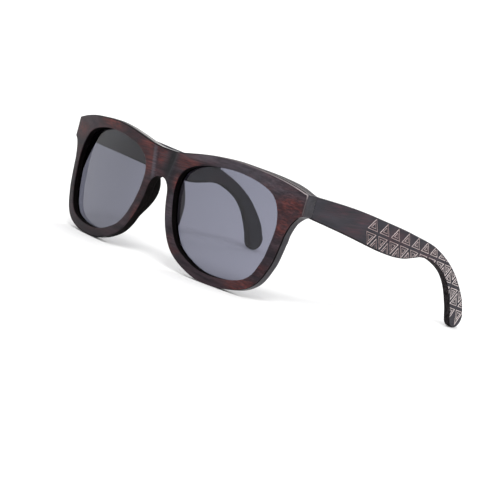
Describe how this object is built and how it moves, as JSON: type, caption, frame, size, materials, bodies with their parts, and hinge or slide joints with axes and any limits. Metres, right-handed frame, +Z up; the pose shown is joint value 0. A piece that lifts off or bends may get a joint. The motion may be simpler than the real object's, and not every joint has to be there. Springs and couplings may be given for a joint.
{
  "type": "wooden sunglasses",
  "caption": "Dark wooden sunglasses with a bowed one-piece front, tinted lenses and folding temples on sprung hinges.",
  "frame": {"origin": "middle of the box's underside, on the surface that the open glasses stand on", "axes": "front faces -Y, temples run towards +Y, +Z up, +X is the wearer's left"},
  "size_m": [0.144, 0.1401, 0.0515],
  "materials": {
    "front_wood": "satin",
    "temple_wood": "satin",
    "tinted_lens": "polished",
    "hinge_steel": "satin"
  },
  "bodies": {
    "front": {"front_frame": "front_wood", "lens_left": "tinted_lens", "lens_right": "tinted_lens", "nose_pad_left": "front_wood", "nose_pad_right": "front_wood", "front_hinge_leaf_left": "hinge_steel", "front_hinge_leaf_right": "hinge_steel", "front_leaf_screws": "hinge_steel", "pivot_screw_left": "hinge_steel", "pivot_screw_right": "hinge_steel"},
    "slider_left": {"hinge_slider_left": "hinge_steel", "spring_left": "hinge_steel", "spring_collar_left": "hinge_steel"},
    "temple_left": {"temple_left": "temple_wood", "hinge_housing_left": "hinge_steel", "temple_screws_left": "hinge_steel"},
    "slider_right": {"hinge_slider_right": "hinge_steel", "spring_right": "hinge_steel", "spring_collar_right": "hinge_steel"},
    "temple_right": {"temple_right": "temple_wood", "hinge_housing_right": "hinge_steel", "temple_screws_right": "hinge_steel"}
  },
  "joints": [
    {"name": "left_temple_fold", "type": "hinge", "parent": "front", "child": "slider_left", "pos_m": [0.0661, -0.05105, 0.04245], "axis": [0, 0, 1], "range_deg": [0, 88]},
    {"name": "left_hinge_spring", "type": "slide", "parent": "slider_left", "child": "temple_left", "axis": [-0.0436, 0.999, 0], "range_m": [0, 0.0016], "stiffness_N_per_m": 1500, "springref_m": -0.0015, "deforming": ["spring_left"]},
    {"name": "right_temple_fold", "type": "hinge", "parent": "front", "child": "slider_right", "pos_m": [-0.0661, -0.05105, 0.04245], "axis": [0, 0, -1], "range_deg": [0, 81]},
    {"name": "right_hinge_spring", "type": "slide", "parent": "slider_right", "child": "temple_right", "axis": [0.0436, 0.999, 0], "range_m": [0, 0.0016], "stiffness_N_per_m": 1500, "springref_m": -0.0015, "deforming": ["spring_right"]}
  ]
}
